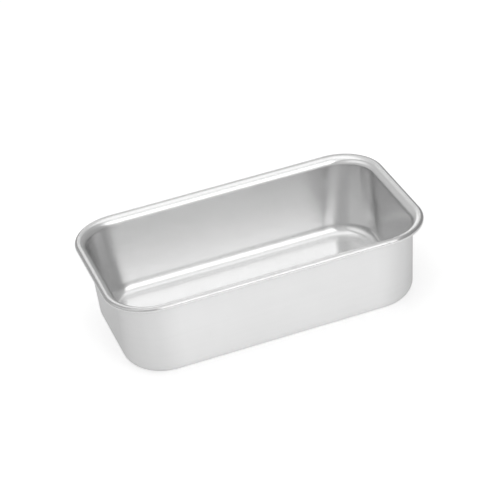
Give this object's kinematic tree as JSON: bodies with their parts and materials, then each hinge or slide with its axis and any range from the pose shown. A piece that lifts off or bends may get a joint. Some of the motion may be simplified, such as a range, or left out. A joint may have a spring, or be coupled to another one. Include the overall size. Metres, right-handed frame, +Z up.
{
  "type": "loaf pan",
  "caption": "Seamless rectangular loaf pan drawn from satin aluminium sheet, with round corners, near-upright walls and a flared rim rolled round a wire.",
  "frame": {"origin": "on the resting plane, under the centre of the pan", "axes": "+X along the pan's length, +Y across it, +Z up out of its mouth"},
  "size_m": [0.248, 0.1424, 0.0665],
  "materials": {
    "pan_metal": "satin, fine drawn grain",
    "wire_metal": "zinc plated, dull"
  },
  "bodies": {
    "root": {"pan_shell": "pan_metal", "rim_wire": "wire_metal"}
  },
  "joints": []
}
